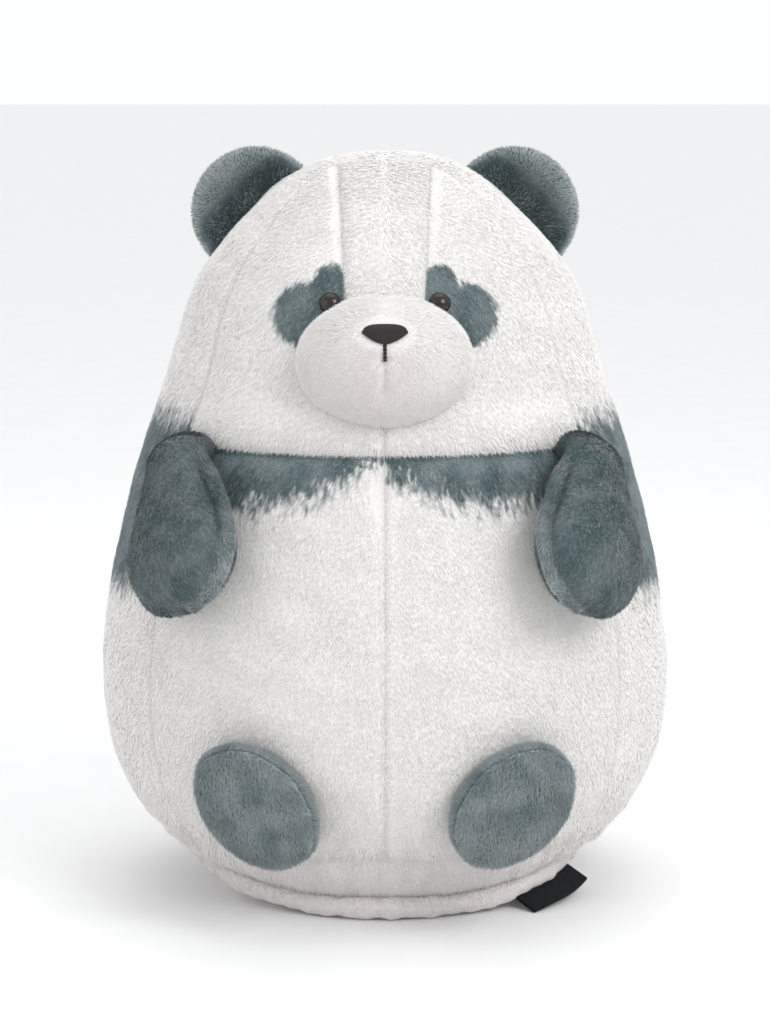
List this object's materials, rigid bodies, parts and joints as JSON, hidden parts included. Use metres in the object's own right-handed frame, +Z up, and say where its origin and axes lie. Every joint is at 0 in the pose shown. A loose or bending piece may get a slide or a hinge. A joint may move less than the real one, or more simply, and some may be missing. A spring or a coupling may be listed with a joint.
{
  "type": "plush panda",
  "caption": "Sitting plush panda: one stuffed egg-shaped head and body with a sewn muzzle, safety eyes, and flexible ears, arms, feet, tail and a blank label.",
  "frame": {"origin": "middle of the flat base panel, on the surface that the panda sits on", "axes": "+Z up through the head, -Y out of the face, +X to the panda's own left"},
  "size_m": [0.22, 0.2213, 0.2876],
  "materials": {
    "white_plush": "short white plush pile",
    "slate_plush": "short slate grey plush pile",
    "stuffing": "polyester fibre filling",
    "black_thread": "satin embroidery thread",
    "eye_plastic": "glossy dark brown",
    "washer_plastic": "natural white",
    "pellet_plastic": "small round pellets",
    "bag_cloth": "plain lining cloth",
    "label_ribbon": "blank black satin ribbon"
  },
  "bodies": {
    "body": {"forehead_gusset": "white_plush", "left_cheek_panel": "white_plush", "right_cheek_panel": "white_plush", "left_belly_panel": "white_plush", "right_belly_panel": "white_plush", "left_back_panel": "white_plush", "right_back_panel": "white_plush", "base_band": "white_plush", "base_rim": "white_plush", "base_panel": "white_plush", "body_stuffing": "stuffing", "pellet_bag": "bag_cloth", "pellets": "pellet_plastic", "muzzle_cover": "white_plush", "muzzle_stuffing": "stuffing", "nose_embroidery": "black_thread", "mouth_stitch": "black_thread", "left_eye": "eye_plastic", "right_eye": "eye_plastic", "left_eye_washer": "washer_plastic", "right_eye_washer": "washer_plastic"},
    "left_arm": {"left_arm_outer_panel": "slate_plush", "left_arm_inner_panel": "slate_plush", "left_arm_stuffing": "stuffing"},
    "left_ear": {"left_ear_front": "slate_plush", "left_ear_back": "slate_plush"},
    "left_foot": {"left_foot_upper": "slate_plush", "left_foot_sole": "slate_plush", "left_foot_stuffing": "stuffing"},
    "right_arm": {"right_arm_outer_panel": "slate_plush", "right_arm_inner_panel": "slate_plush", "right_arm_stuffing": "stuffing"},
    "right_ear": {"right_ear_front": "slate_plush", "right_ear_back": "slate_plush"},
    "right_foot": {"right_foot_upper": "slate_plush", "right_foot_sole": "slate_plush", "right_foot_stuffing": "stuffing"},
    "tail": {"tail_cover": "white_plush", "tail_stuffing": "stuffing"},
    "label": {"sewn_label": "label_ribbon"}
  },
  "joints": [
    {"name": "left_arm_swing", "type": "hinge", "parent": "body", "child": "left_arm", "pos_m": [0.07719, -0.06119, 0.17557], "axis": [-0.7541, -0.5037, 0.4214], "range_deg": [0, 70]},
    {"name": "left_ear_bend", "type": "hinge", "parent": "body", "child": "left_ear", "pos_m": [0.05195, 0.00441, 0.26474], "axis": [0.7246, 0, -0.6892], "range_deg": [-25, 20], "stiffness_Nm_per_rad": 0.01},
    {"name": "left_foot_flex", "type": "hinge", "parent": "body", "child": "left_foot", "pos_m": [0.04716, -0.09713, 0.05215], "axis": [0.9806, 0.1961, 0], "range_deg": [-10, 10], "stiffness_Nm_per_rad": 0.1},
    {"name": "right_arm_swing", "type": "hinge", "parent": "body", "child": "right_arm", "pos_m": [-0.07719, -0.06119, 0.17557], "axis": [-0.7541, 0.5037, -0.4214], "range_deg": [0, 70]},
    {"name": "right_ear_bend", "type": "hinge", "parent": "body", "child": "right_ear", "pos_m": [-0.05195, 0.00441, 0.26474], "axis": [0.7246, 0, 0.6892], "range_deg": [-25, 20], "stiffness_Nm_per_rad": 0.01},
    {"name": "right_foot_flex", "type": "hinge", "parent": "body", "child": "right_foot", "pos_m": [-0.04716, -0.09713, 0.05215], "axis": [0.9806, -0.1961, 0], "range_deg": [-10, 10], "stiffness_Nm_per_rad": 0.1},
    {"name": "tail_flick", "type": "hinge", "parent": "body", "child": "tail", "pos_m": [0, 0.09542, 0.03739], "axis": [1, 0, 0], "range_deg": [-15, 15], "stiffness_Nm_per_rad": 0.03},
    {"name": "label_flap", "type": "hinge", "parent": "body", "child": "label", "pos_m": [0.06398, -0.04253, 0.0034], "axis": [-0.6314, -0.7755, 0], "range_deg": [0, 60]}
  ]
}
